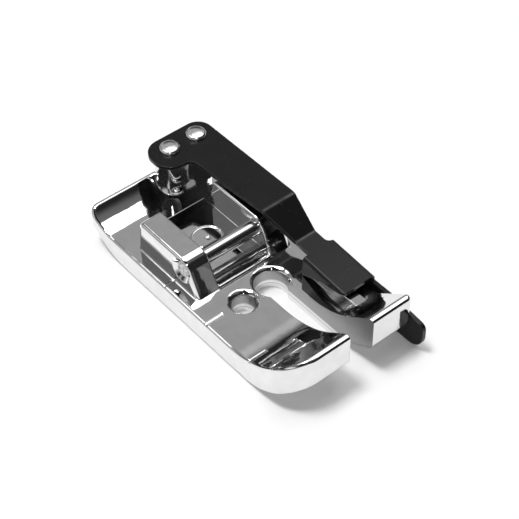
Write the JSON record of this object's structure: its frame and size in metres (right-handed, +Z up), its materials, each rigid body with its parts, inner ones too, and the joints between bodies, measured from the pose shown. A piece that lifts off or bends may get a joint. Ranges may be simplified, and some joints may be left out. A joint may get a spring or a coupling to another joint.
{
  "type": "sewing machine presser foot",
  "caption": "Clip-on presser foot with turned-up toes, a needle slot, a cross pin between lugs and a folded edge guide riveted on behind that runs along the right side as a fence.",
  "frame": {"origin": "middle of the snap pin, halfway between the lugs", "axes": "+X to the right along the snap pin, +Y to the back, the way the fabric feeds, +Z up"},
  "size_m": [0.0151, 0.0327, 0.0078],
  "materials": {
    "plated_casting": "bright chrome plate on a tumbled casting",
    "pin_steel": "ground and polished",
    "black_steel": "satin black",
    "rivet_steel": "plated"
  },
  "bodies": {
    "root": {"foot_sole": "plated_casting", "snap_pin": "pin_steel", "edge_guide": "black_steel", "guide_rivets": "rivet_steel"}
  },
  "joints": []
}
